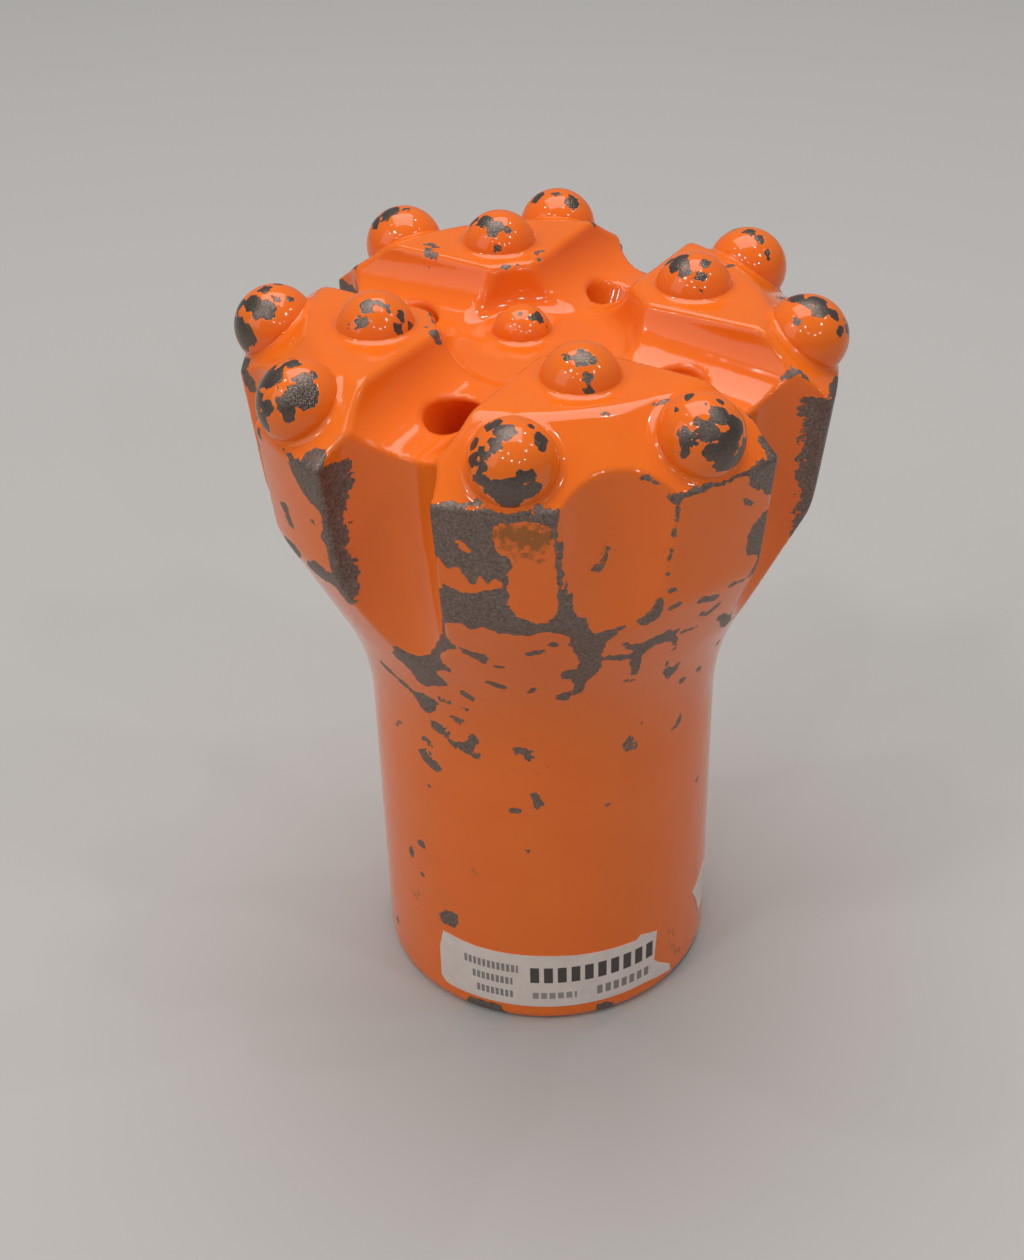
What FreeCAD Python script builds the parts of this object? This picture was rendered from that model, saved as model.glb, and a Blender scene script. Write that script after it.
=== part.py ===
import FreeCAD, Part
import math
import os
import Sketcher

# Drop-centre button bit with a left-hand rope-like thread, for top-hammer rock drilling.
# The frame: Z is the bit's axis, z = 0 is the mouth of the skirt, and the drilling face looks up.
# One of the four wings points along -Y. All lengths are millimetres, all angles degrees.

WINGS = 4
CLOSE = 0.001

# Driving sizes. Each is set by itself. Heights are measured from the mouth of the skirt, and the
# head hangs from the flat tops of the wings.
DRIVING = [
    ("skirt_radius", 31.75, "outside of the skirt"),
    ("skirt_edge", 1.2, "chamfer round the foot of the skirt"),
    ("neck_curve", 54.5, "radius of the hollow between skirt and head"),
    ("neck_angle", 26.1, "flare of the neck from the axis"),
    ("side_low_radius", 47.4, "radius where the flare meets the side of the head"),
    ("side_length", 20.9, "length of the side of the head, below its rim"),
    ("gauge_edge_radius", 49.75, "rim of the steel head, inside the gauge buttons"),
    ("gauge_edge_drop", 9.8, "drop of that rim below the wing tops"),
    ("bevel_angle", 38.0, "slope of the bevel that carries the gauge buttons"),
    ("face_height", 134.3, "height of the flat tops of the wings"),
    ("wing_round", 1.6, "rounding of the wing tops' inner edges"),
    ("bowl_rim_radius", 17.2, "drop centre at the level of the wing tops"),
    ("bowl_depth", 7.8, "depth of the drop centre below the wing tops"),
    ("bowl_draft", 11.0, "lean of the wall of the drop centre"),
    ("bowl_fillet", 3.0, "round at the foot of that wall"),
    ("groove_radius", 9.5, "half-round face grooves between the wings"),
    ("groove_start", 16.0, "radius at which the groove depth is given"),
    ("groove_depth", 7.3, "depth of a groove's lowest line there, below the wing tops"),
    ("groove_fall", 5.0, "fall of a groove towards the rim"),
    ("flute_radius", 10.1, "half-round flutes down the side of the head"),
    ("flute_depth", 10.65, "depth of a flute below the rim of the head"),
    ("scallop_radius", 13.6, "scallops between the gauge buttons"),
    ("scallop_depth", 4.65, "depth of a scallop below the rim of the head"),
    ("flush_hole_radius", 4.5, "slanted flushing holes"),
    ("flush_mouth", 26.0, "radius of their mouths in the grooves"),
    ("flush_slant", 33.0, "slant of those holes from the axis"),
    ("bore_radius", 9.0, "central flushing bore"),
    ("bore_cover", 30.3, "steel between the end of the full central bore and the wing tops"),
    ("drill_point", 59.0, "half angle of a drill's point"),
    ("guide_radius", 19.8, "smooth guide bore in the mouth of the skirt"),
    ("guide_depth", 10.0, "depth of that guide bore"),
    ("guide_edge", 1.5, "chamfer at its mouth"),
    ("thread_minor", 17.4, "radius of the thread's crests"),
    ("thread_major", 19.4, "radius of the thread's roots"),
    ("thread_pitch", 15.5, "advance of the thread in one turn"),
    ("thread_root", 4.5, "width of the flat at the thread's root"),
    ("thread_flank", 35.0, "slope of the thread's flanks from the axis"),
    ("relief_radius", 20.0, "relief behind the thread"),
    ("relief_length", 10.0, "length of that relief"),
    ("socket_depth", 80.0, "depth of the face on which the drill rod stops"),
    ("gauge_button", 6.75, "radius of a gauge button"),
    ("gauge_inset", 6.09, "distance inside the rim at which its axis leaves the bevel"),
    ("gauge_angle", 19.07, "angle of a gauge button from the middle of its wing"),
    ("gauge_stand", 0.65, "height of the centre of its round top above the bevel"),
    ("gauge_seat", 13.0, "depth of its hole"),
    ("face_button", 6.35, "radius of a face button"),
    ("face_row", 26.93, "radius of the row of face buttons"),
    ("face_stand", -0.85, "height of the centre of its round top above the wing"),
    ("face_seat", 12.0, "depth of its hole"),
    ("centre_button", 5.0, "radius of the button in the drop centre"),
    ("centre_offset_x", -1.0, "its place across the drop centre"),
    ("centre_offset_y", 7.2, "its place along the drop centre"),
    ("centre_stand", -0.5, "height of the centre of its round top above the floor"),
    ("centre_seat", 9.0, "depth of its hole"),
    ("button_edge", 1.0, "chamfer at the foot of every button"),
    ("paper", 0.2, "thickness of the labels"),
    ("label_foot", 4.1, "height of the lower edge of the label"),
    ("label_height", 13.0, "height of the label"),
    ("label_width", 41.4, "width of the label across the skirt"),
    ("label_turn", -13.5, "turn of the label's middle from the -Y side"),
    ("scrap_foot", 8.5, "height of the lowest point of the scrap"),
    ("scrap_height", 10.5, "height of the scrap"),
    ("scrap_width", 9.0, "width of the scrap across the skirt"),
    ("scrap_turn", 57.0, "turn of the scrap's middle from the -Y side"),
]

# Sizes that follow from the driving ones, as formulas of the sheet.
DERIVED = [
    ("gauge_edge_height", "face_height - gauge_edge_drop"),
    ("side_low_height", "gauge_edge_height - side_length"),
    ("bowl_floor_height", "face_height - bowl_depth"),
    ("groove_start_height", "face_height - groove_depth"),
    ("bore_top", "face_height - bore_cover"),
    ("face_radius", "gauge_edge_radius - (face_height - gauge_edge_height) / tan(bevel_angle)"),
    ("neck_knee", "side_low_height - (side_low_radius - skirt_radius) / tan(neck_angle)"),
    ("neck_tangent", "neck_curve * tan(neck_angle / 2)"),
    ("neck_start_height", "neck_knee - neck_tangent"),
    ("neck_end_height", "neck_knee + neck_tangent * cos(neck_angle)"),
    ("neck_end_radius", "skirt_radius + neck_tangent * sin(neck_angle)"),
    ("skirt_foot_radius", "skirt_radius - skirt_edge"),
    ("bowl_top_height", "face_height + 1"),
    ("bowl_top_radius", "bowl_rim_radius + tan(bowl_draft)"),
    ("bowl_corner_radius", "bowl_rim_radius - (face_height - bowl_floor_height) * tan(bowl_draft)"),
    ("bowl_corner_tangent", "bowl_fillet * tan((90 - bowl_draft) / 2)"),
    ("bowl_floor_radius", "bowl_corner_radius - bowl_corner_tangent"),
    ("bowl_wall_radius", "bowl_corner_radius + bowl_corner_tangent * sin(bowl_draft)"),
    ("bowl_wall_height", "bowl_floor_height + bowl_corner_tangent * cos(bowl_draft)"),
    ("guide_mouth_radius", "guide_radius + guide_edge"),
    ("guide_step_height", "guide_depth + guide_radius - thread_minor"),
    ("relief_start", "socket_depth - relief_length"),
    ("relief_lead", "relief_start - (relief_radius - thread_minor)"),
    ("bore_point", "bore_top + bore_radius / tan(drill_point)"),
    ("thread_inside", "thread_minor - 1"),
    ("thread_half_root", "thread_root / 2"),
    ("thread_half_mouth", "thread_half_root + (thread_major - thread_inside) / tan(thread_flank)"),
    ("thread_start", "guide_depth - thread_half_mouth"),
    ("thread_half_crest", "thread_half_root + (thread_major - thread_minor) / tan(thread_flank)"),
    ("thread_length", "relief_lead + thread_half_crest - thread_start"),
    ("tooth_mouth_low", "thread_start - thread_half_mouth"),
    ("tooth_mouth_high", "thread_start + thread_half_mouth"),
    ("tooth_root_low", "thread_start - thread_half_root"),
    ("tooth_root_high", "thread_start + thread_half_root"),
    ("groove_turn", "180 / %d" % WINGS),
    ("groove_length", "gauge_edge_radius / cos(groove_fall) + groove_radius"),
    ("groove_run_in", "(groove_start + groove_radius * sin(groove_fall)) / cos(groove_fall)"),
    ("groove_lift", "groove_radius * cos(groove_fall) + groove_run_in * sin(groove_fall)"),
    ("groove_axis_height", "groove_start_height + groove_lift"),
    ("groove_lean", "90 + groove_fall"),
    ("flute_reach", "gauge_edge_radius - flute_depth + flute_radius"),
    ("flute_x", "flute_reach * cos(groove_turn)"),
    ("flute_y", "flute_reach * sin(groove_turn)"),
    ("flush_mouth_height", "groove_start_height - (flush_mouth - groove_start) * tan(groove_fall)"),
    ("flush_foot_height", "flush_mouth_height - flush_mouth / tan(flush_slant)"),
    ("flush_length", "flush_mouth / sin(flush_slant) + groove_radius + flush_hole_radius"),
    ("scallop_reach", "gauge_edge_radius - scallop_depth + scallop_radius"),
    ("gauge_row", "gauge_edge_radius - gauge_inset"),
    ("gauge_height", "gauge_edge_height + gauge_inset * tan(bevel_angle)"),
    ("label_outside", "skirt_radius + paper"),
    ("label_block", "2 * skirt_radius"),
    ("label_reach", "label_block + label_width"),
]


def value(alias):
    """The number that a size has in the sheet."""
    return float(sizes.get(alias))


def fill_sheet():
    """Write the driving sizes as plain numbers, and the derived ones as formulas."""
    row = 1
    for alias, number, note in DRIVING:
        sizes.set("A%d" % row, note)
        sizes.set("B%d" % row, str(number))
        sizes.setAlias("B%d" % row, alias)
        row += 1
    for alias, formula in DERIVED:
        sizes.set("A%d" % row, "follows from the sizes above")
        sizes.set("B%d" % row, "=" + formula)
        sizes.setAlias("B%d" % row, alias)
        row += 1
    doc.recompute()


def new_body(label):
    body = doc.addObject("PartDesign::Body", label)
    body.Label = label
    bodies.append(body)
    return body


def origin_part(body, role):
    """A plane or axis of a body's own origin, found by its role."""
    for feature in body.Origin.OriginFeatures:
        if feature.Role == role:
            return feature
    raise ValueError("no origin feature " + role)


def new_sketch(body, name, role="XZ_Plane"):
    sketch = body.newObject("Sketcher::SketchObject", name)
    sketch.AttachmentSupport = [(origin_part(body, role), "")]
    sketch.MapMode = "FlatFace"
    return sketch


def tie(sketch, kind, geometry, end, formula, number):
    """Fix one coordinate of a point to a formula; a point at zero is put on the sketch's axis."""
    if formula is None:
        axis = -2 if kind == "DistanceX" else -1
        sketch.addConstraint(Sketcher.Constraint("PointOnObject", geometry, end, axis))
        return
    index = sketch.addConstraint(Sketcher.Constraint(kind, -1, 1, geometry, end, number))
    sketch.setExpression("Constraints[%d]" % index, formula)


def closed_outline(sketch, corners):
    """Draw a closed outline. A corner is (x, y) in names or formulas with their numbers.

    Each entry is ((x formula, x number), (y formula, y number), bend). The stretch to the next
    corner is straight, or an arc where bend is (radius name, side), with side 1 for an arc that
    lies left of the stretch and -1 for one that lies right of it.
    """
    points = [FreeCAD.Vector(x[1], y[1], 0) for x, y, bend in corners]
    for index, (x, y, bend) in enumerate(corners):
        start = points[index]
        finish = points[(index + 1) % len(points)]
        if bend is None:
            sketch.addGeometry(Part.LineSegment(start, finish), False)
        else:
            sketch.addGeometry(arc_between(start, finish, value(bend[0]), bend[1]), False)
    last = len(corners) - 1
    for index, (x, y, bend) in enumerate(corners):
        before = last if index == 0 else index - 1
        begin, end = line_ends(corners, index)
        before_end = line_ends(corners, before)[1]
        sketch.addConstraint(Sketcher.Constraint("Coincident", before, before_end, index, begin))
        tie(sketch, "DistanceX", index, begin, x[0], x[1])
        tie(sketch, "DistanceY", index, begin, y[0], y[1])
        if bend is not None:
            radius = Sketcher.Constraint("Radius", index, value(bend[0]))
            number = sketch.addConstraint(radius)
            sketch.setExpression("Constraints[%d]" % number, "Sizes." + bend[0])


def line_ends(corners, index):
    """Which ends of a stretch are its start and finish: an arc runs anticlockwise."""
    bend = corners[index][2]
    if bend is not None and bend[1] < 0:
        return 1, 2
    if bend is not None:
        return 2, 1
    return 1, 2


def arc_between(start, finish, radius, side):
    """The arc of a radius between two points that bulges left (1) or right (-1) of the way."""
    chord = finish.sub(start)
    middle = start.add(finish).multiply(0.5)
    across = FreeCAD.Vector(-chord.y, chord.x, 0).normalize()
    half = chord.Length / 2
    rise = radius - math.sqrt(radius * radius - half * half)
    return Part.Arc(start, middle.add(across.multiply(side * rise)), finish)


def at(name, sign=1):
    """A coordinate given by one size of the sheet, or by its negative."""
    text = "Sizes." + name if sign > 0 else "-Sizes." + name
    return (text, sign * value(name))


ON_AXIS = (None, 0.0)


def turned(body, name, corners, kind):
    """Turn an outline round the Z axis, as solid metal or as a cut."""
    sketch = new_sketch(body, name + "_outline")
    closed_outline(sketch, corners)
    feature = body.newObject("PartDesign::" + kind, name)
    feature.Profile = sketch
    feature.ReferenceAxis = (sketch, ["V_Axis"])
    feature.Angle = 360
    body.Tip = feature
    return feature


def round_pocket(body, name, x, y, radius):
    """Cut a round channel parallel to the axis, right through the head."""
    sketch = new_sketch(body, name + "_circle", "XY_Plane")
    centre = FreeCAD.Vector(x[1], y[1], 0)
    sketch.addGeometry(Part.Circle(centre, FreeCAD.Vector(0, 0, 1), value(radius)), False)
    tie(sketch, "DistanceX", 0, 3, x[0], x[1])
    tie(sketch, "DistanceY", 0, 3, y[0], y[1])
    number = sketch.addConstraint(Sketcher.Constraint("Radius", 0, value(radius)))
    sketch.setExpression("Constraints[%d]" % number, "Sizes." + radius)
    pocket = body.newObject("PartDesign::Pocket", name)
    pocket.Profile = sketch
    pocket.Type = "ThroughAll"
    pocket.Reversed = True
    body.Tip = pocket
    return pocket


def drilled(body, name, radius, height, placement):
    """Cut a straight round hole that starts at its floor."""
    hole = body.newObject("PartDesign::SubtractiveCylinder", name)
    hole.setExpression("Radius", "Sizes." + radius)
    hole.setExpression("Height", height)
    hole.setExpression("Placement", placement)
    body.Tip = hole
    return hole


def round_the_wings(body, feature):
    """Repeat a cut once for every wing."""
    pattern = body.newObject("PartDesign::PolarPattern", feature.Name + "_all")
    pattern.Originals = [feature]
    pattern.Axis = (origin_part(body, "Z_Axis"), [""])
    pattern.Angle = 360
    pattern.Occurrences = WINGS
    body.Tip = pattern
    return pattern


def inner_top_edges(shape):
    """Names of the edges in the plane of the wing tops, without the outer ones on the bevel."""
    names = []
    for index, edge in enumerate(shape.Edges):
        box = edge.BoundBox
        level = max(abs(box.ZMin - value("face_height")), abs(box.ZMax - value("face_height")))
        reach = min(math.hypot(vertex.X, vertex.Y) for vertex in edge.Vertexes)
        if level < CLOSE and reach < value("face_radius") - CLOSE:
            names.append("Edge%d" % (index + 1))
    return names


def placed(x, y, z, turn, lean):
    """A placement formula: leaned from Z towards +X, then turned about Z, then moved."""
    where = "vector(%s; %s; %s)" % (x, y, z)
    spin = "rotation(vector(0; 0; 1); %s)" % turn
    tip = "rotation(vector(0; 1; 0); %s)" % lean
    return "placement(%s; %s * %s)" % (where, spin, tip)


def out_from_axis(radius, height, turn, lean):
    """A placement formula for a point given by its radius, its turn about Z and its height."""
    x = "(%s) * cos(%s)" % (radius, turn)
    y = "(%s) * sin(%s)" % (radius, turn)
    return placed(x, y, height, turn, lean)


def gauge_place(turn, depth):
    """Where a gauge button's own axis is, a depth below the bevel and square to it."""
    radius = "Sizes.gauge_row - %s * sin(Sizes.bevel_angle)" % depth
    height = "Sizes.gauge_height - %s * cos(Sizes.bevel_angle)" % depth
    return out_from_axis(radius, height, turn, "Sizes.bevel_angle")


# ---- the sheet ------------------------------------------------------------------------------

doc = FreeCAD.newDocument("button_drill_bit")
sizes = doc.addObject("Spreadsheet::Sheet", "Sizes")
bodies = []
fill_sheet()

# ---- bit_body: one forged and machined piece of alloy steel ----------------------------------

steel = new_body("bit_body")

turned(steel, "blank", [
    (ON_AXIS, ON_AXIS, None),
    (at("skirt_foot_radius"), ON_AXIS, None),
    (at("skirt_radius"), at("skirt_edge"), None),
    (at("skirt_radius"), at("neck_start_height"), ("neck_curve", 1)),
    (at("neck_end_radius"), at("neck_end_height"), None),
    (at("side_low_radius"), at("side_low_height"), None),
    (at("gauge_edge_radius"), at("gauge_edge_height"), None),
    (at("face_radius"), at("face_height"), None),
    (ON_AXIS, at("face_height"), None),
], "Revolution")

# The drop centre: a shallow tapered pocket with a rounded foot.
turned(steel, "drop_centre", [
    (ON_AXIS, at("bowl_floor_height"), None),
    (at("bowl_floor_radius"), at("bowl_floor_height"), ("bowl_fillet", -1)),
    (at("bowl_wall_radius"), at("bowl_wall_height"), None),
    (at("bowl_top_radius"), at("bowl_top_height"), None),
    (ON_AXIS, at("bowl_top_height"), None),
], "Groove")

# Flutes down the side between the wings, and a scallop in the middle of each wing.
flute = round_pocket(steel, "flute", at("flute_x"), at("flute_y"), "flute_radius")
round_the_wings(steel, flute)
scallop = round_pocket(steel, "scallop", at("scallop_reach"), ON_AXIS, "scallop_radius")
round_the_wings(steel, scallop)

# Face grooves: half-round channels from the drop centre to the flutes, falling outward.
groove = drilled(steel, "groove", "groove_radius", "Sizes.groove_length",
                 placed("0", "0", "Sizes.groove_axis_height", "Sizes.groove_turn",
                        "Sizes.groove_lean"))
round_the_wings(steel, groove)

# The wing tops are rounded off where they meet the grooves and the drop centre.
doc.recompute()
grooved = steel.Tip
rounded = steel.newObject("PartDesign::Fillet", "wing_tops_rounded")
rounded.Base = (grooved, inner_top_edges(grooved.Shape))
rounded.setExpression("Radius", "Sizes.wing_round")
steel.Tip = rounded

# The socket for the drill rod: guide bore, thread crests, relief, stop face and flushing bore.
turned(steel, "socket", [
    (ON_AXIS, ON_AXIS, None),
    (at("guide_mouth_radius"), ON_AXIS, None),
    (at("guide_radius"), at("guide_edge"), None),
    (at("guide_radius"), at("guide_depth"), None),
    (at("thread_minor"), at("guide_step_height"), None),
    (at("thread_minor"), at("relief_lead"), None),
    (at("relief_radius"), at("relief_start"), None),
    (at("relief_radius"), at("socket_depth"), None),
    (at("bore_radius"), at("socket_depth"), None),
    (at("bore_radius"), at("bore_top"), None),
    (ON_AXIS, at("bore_point"), None),
], "Groove")

# The thread: a trapezium swept along a left-hand helix from the guide bore to the relief.
tooth = new_sketch(steel, "thread_tooth")
closed_outline(tooth, [
    (at("thread_inside"), at("tooth_mouth_low"), None),
    (at("thread_major"), at("tooth_root_low"), None),
    (at("thread_major"), at("tooth_root_high"), None),
    (at("thread_inside"), at("tooth_mouth_high"), None),
])
thread = steel.newObject("PartDesign::SubtractiveHelix", "thread")
thread.Profile = tooth
thread.ReferenceAxis = (tooth, ["V_Axis"])
thread.Mode = "pitch-height-angle"
thread.setExpression("Pitch", "Sizes.thread_pitch")
thread.setExpression("Height", "Sizes.thread_length")
thread.LeftHanded = True
steel.Tip = thread

# Flushing holes: from the central bore up to the grooves.
flush_hole = drilled(steel, "flush_hole", "flush_hole_radius", "Sizes.flush_length",
                     placed("0", "0", "Sizes.flush_foot_height", "Sizes.groove_turn",
                            "Sizes.flush_slant"))
round_the_wings(steel, flush_hole)

# Blind, flat-bottomed holes for the buttons.
for side, name in ((-1, "gauge_hole_left"), (1, "gauge_hole_right")):
    turn = "%d * Sizes.gauge_angle" % side
    hole = drilled(steel, name, "gauge_button", "Sizes.gauge_seat + Sizes.gauge_button",
                   gauge_place(turn, "Sizes.gauge_seat"))
    round_the_wings(steel, hole)
face_hole = drilled(steel, "face_hole", "face_button", "Sizes.face_seat + Sizes.face_button",
                    placed("Sizes.face_row", "0", "Sizes.face_height - Sizes.face_seat", "0", "0"))
round_the_wings(steel, face_hole)
drilled(steel, "centre_hole", "centre_button", "Sizes.centre_seat + Sizes.centre_button",
        placed("Sizes.centre_offset_x", "Sizes.centre_offset_y",
               "Sizes.bowl_floor_height - Sizes.centre_seat", "0", "0"))

# ---- the buttons: sintered tungsten carbide, pressed into the holes ---------------------------


def add_button(label, radius, stand, seat, placement):
    """A round shank with a chamfered foot and a round top; z = 0 is the steel's surface."""
    body = new_body(label)
    foot = ("-Sizes.%s" % seat, -value(seat))
    edge = ("-Sizes.%s + Sizes.button_edge" % seat, value("button_edge") - value(seat))
    foot_radius = ("Sizes.%s - Sizes.button_edge" % radius, value(radius) - value("button_edge"))
    top = ("Sizes.%s + Sizes.%s" % (stand, radius), value(stand) + value(radius))
    turned(body, label + "_shape", [
        (ON_AXIS, foot, None),
        (foot_radius, foot, None),
        (at(radius), edge, None),
        (at(radius), at(stand), (radius, -1)),
        (ON_AXIS, top, None),
    ], "Revolution")
    body.setExpression("Placement", placement)
    return body


for wing in range(WINGS):
    wing_turn = -90 + wing * 360 // WINGS
    for step, side in enumerate((-1, 1)):
        turn = "(%d + %d * Sizes.gauge_angle)" % (wing_turn, side)
        add_button("gauge_button_%d" % (2 * wing + step + 1), "gauge_button", "gauge_stand",
                   "gauge_seat", gauge_place(turn, "0"))
    add_button("face_button_%d" % (wing + 1), "face_button", "face_stand", "face_seat",
               out_from_axis("Sizes.face_row", "Sizes.face_height", wing_turn, "0"))
add_button("centre_button", "centre_button", "centre_stand", "centre_seat",
           placed("Sizes.centre_offset_x", "Sizes.centre_offset_y",
                  "Sizes.bowl_floor_height", "0", "0"))

# ---- the labels: thin paper stuck round the skirt ---------------------------------------------


def add_paper(label, foot, height, width, turn, outline):
    """Paper wrapped round the skirt. The outline is a list of (across, up) corners, in shares of
    the width from its middle and of the height from its foot."""
    body = new_body(label)
    sketch = new_sketch(body, label + "_outline")
    corners = []
    for across, up in outline:
        x = ("%s * Sizes.%s" % (across, width), across * value(width))
        y = ("Sizes.%s + %s * Sizes.%s" % (foot, up, height), value(foot) + up * value(height))
        corners.append((x, y, None))
    closed_outline(sketch, corners)
    sheet = body.newObject("PartDesign::Pad", label + "_sheet")
    sheet.Profile = sketch
    sheet.setExpression("Length", "Sizes.label_block")
    body.Tip = sheet
    doc.recompute()
    wrap = new_sketch(body, label + "_wrap", "XY_Plane")
    for name in ("label_reach", "label_outside"):
        circle = Part.Circle(FreeCAD.Vector(0, 0, 0), FreeCAD.Vector(0, 0, 1), value(name))
        index = wrap.addGeometry(circle, False)
        wrap.addConstraint(Sketcher.Constraint("Coincident", index, 3, -1, 1))
        number = wrap.addConstraint(Sketcher.Constraint("Radius", index, value(name)))
        wrap.setExpression("Constraints[%d]" % number, "Sizes." + name)
    outside = body.newObject("PartDesign::Pocket", label + "_outside")
    outside.Profile = wrap
    outside.Type = "ThroughAll"
    outside.Reversed = True
    body.Tip = outside
    inside = body.newObject("PartDesign::SubtractiveCylinder", label + "_inside")
    inside.setExpression("Radius", "Sizes.skirt_radius")
    inside.setExpression("Height", "Sizes.face_height")
    body.Tip = inside
    body.setExpression("Placement", placed("0", "0", "0", "Sizes." + turn, "0"))
    return body


add_paper("paper_label", "label_foot", "label_height", "label_width", "label_turn", [
    (-0.50, 0.12),
    (-0.48, 0.02),
    (-0.45, 0.00),
    (0.45, 0.00),
    (0.575, -0.10),
    (0.57, 0.02),
    (0.51, 0.24),
    (0.49, 0.35),
    (0.50, 0.91),
    (0.42, 1.02),
    (0.40, 0.95),
    (0.00, 1.02),
    (-0.33, 1.015),
    (-0.48, 1.05),
    (-0.50, 0.69),
])

add_paper("label_scrap", "scrap_foot", "scrap_height", "scrap_width", "scrap_turn", [
    (-0.50, 0.79),
    (-0.26, 0.42),
    (-0.06, 0.00),
    (0.21, 0.17),
    (0.50, 0.53),
    (0.32, 1.00),
    (-0.12, 0.92),
])

# ---- recompute, test and write ----------------------------------------------------------------

doc.recompute()
for thing in doc.Objects:
    for state in thing.State:
        if state in ("Invalid", "Error"):
            raise RuntimeError("%s is %s" % (thing.Label, state))
os.makedirs("parts", exist_ok=True)
for body in bodies:
    shape = body.Shape
    if shape.isNull() or not shape.isValid() or not shape.Solids:
        raise RuntimeError("%s has no valid solid" % body.Label)
    shape.exportStep("parts/%s.step" % body.Label)
    print("%-16s %8.1f mm3, %d solid" % (body.Label, shape.Volume, len(shape.Solids)))
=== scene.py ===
import math

import bpy
import numpy as np
from mathutils import Matrix, Vector


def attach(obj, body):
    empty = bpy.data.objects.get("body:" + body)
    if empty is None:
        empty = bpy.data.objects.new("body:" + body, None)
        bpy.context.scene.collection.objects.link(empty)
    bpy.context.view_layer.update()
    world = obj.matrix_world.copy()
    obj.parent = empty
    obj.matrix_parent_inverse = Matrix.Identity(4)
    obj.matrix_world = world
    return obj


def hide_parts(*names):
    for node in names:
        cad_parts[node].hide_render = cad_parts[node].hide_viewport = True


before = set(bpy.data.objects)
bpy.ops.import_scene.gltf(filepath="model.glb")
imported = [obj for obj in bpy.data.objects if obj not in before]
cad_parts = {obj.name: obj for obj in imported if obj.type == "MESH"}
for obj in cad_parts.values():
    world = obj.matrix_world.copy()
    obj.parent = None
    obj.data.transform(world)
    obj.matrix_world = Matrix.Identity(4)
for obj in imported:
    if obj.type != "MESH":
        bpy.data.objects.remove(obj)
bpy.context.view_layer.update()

# ---------------------------------------------------------------------------------------------
# The bit body: one forging of alloy steel, turned to its outline, milled to four wings with
# grooves, flutes and scallops between them, and bored for the rod. The finished bit is dipped
# in thick orange enamel, which rounds every edge and creeps up round each button.

# Sizes in millimetres, as the body is turned.
SKIRT_RADIUS = 31.75
FOOT_CHAMFER = 1.2
NECK_HOLLOW = 54.5
NECK_FLARE = math.radians(26.1)
SHOULDER_RADIUS, SHOULDER_HEIGHT = 47.4, 103.6
RIM_RADIUS, RIM_HEIGHT = 49.75, 124.5
BEVEL = math.radians(38)
FACE_HEIGHT = 134.3

# The drop centre, and what is milled between the wings.
DROP_RADIUS, DROP_FLOOR, DROP_TAPER, DROP_CORNER = 17.2, 126.5, math.radians(11), 3.4
GROOVE_RADIUS, GROOVE_AXIS, GROOVE_FALL = 9.5, 137.94, math.radians(5)
FLUTE_RADIUS, FLUTE_REACH = 10.1, 49.2
SCALLOP_RADIUS, SCALLOP_REACH = 13.6, 58.7
FLUSH_RADIUS, FLUSH_FOOT, FLUSH_SLANT = 4.5, 86.09, math.radians(33)

# The socket: guide, left-hand rope thread, relief, and the bore beyond them.
GUIDE_RADIUS, GUIDE_DEPTH, GUIDE_EDGE = 19.8, 10.0, 1.5
THREAD_CREST, THREAD_ROOT, THREAD_PITCH = 17.4, 19.4, 15.5
THREAD_START, THREAD_FLAT, THREAD_FLANK = 3.47, 4.5, math.radians(35)
RELIEF_RADIUS, RELIEF_START, SOCKET_DEPTH = 20.0, 70.0, 80.0
BORE_RADIUS, BORE_TOP, DRILL_POINT = 9.0, 104.0, math.radians(59)

# Where the buttons sit: (radius, distance out, turn off the wing's middle, height, stand).
GAUGE_RADIUS, GAUGE_OUT, GAUGE_TURN, GAUGE_HEIGHT, GAUGE_STAND = 6.75, 43.66, 19.07, 129.26, 0.65
FACE_RADIUS, FACE_OUT, FACE_STAND = 6.35, 26.93, -0.85
CENTRE_RADIUS, CENTRE_PLACE, CENTRE_STAND = 5.0, (-1.0, 7.2), -0.5

# The enamel: how far it creeps out from a button, how thick it lies, and how wide it rounds
# each edge of the steel.
CREEP = 1.9
ENAMEL_THICKNESS = 0.2
SHOULDER_ROUND, BEVEL_ROUND, FACE_ROUND, CHAMFER_ROUND, FOOT_ROUND = 0.8, 0.5, 1.0, 0.6, 0.4
DROP_ROUND, GROOVE_ROUND, FLUTE_ROUND, SCALLOP_ROUND, FLUSH_ROUND = 1.5, 1.3, 0.7, 0.6, 0.9
SOCKET_ROUND, SOCKET_CORNER = 0.4, 0.5

# The stretch of a button that the enamel creeps up, along its axis from its seat, and how far
# the skin stays inside the button there.
NECK_MIDDLE, NECK_HALF, NECK_INSET = -2, 4.2, 0.25

# A distance too large to matter.
FAR = 9.0


def rounded(a, b, width):
    """The larger of two distances, with the corner where they meet rounded over a width."""
    near = np.clip(1 - np.abs(a - b) / width, 0, None)
    return np.maximum(a, b) + width / 4 * near * near


def trimmed(shape, cut, width):
    """A shape cut back by another, and how far each point is from the nearest edge so made."""
    distance, edge = shape
    gap = distance - cut
    return rounded(distance, cut, width), np.where(abs(gap) < abs(edge), gap, edge)


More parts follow.
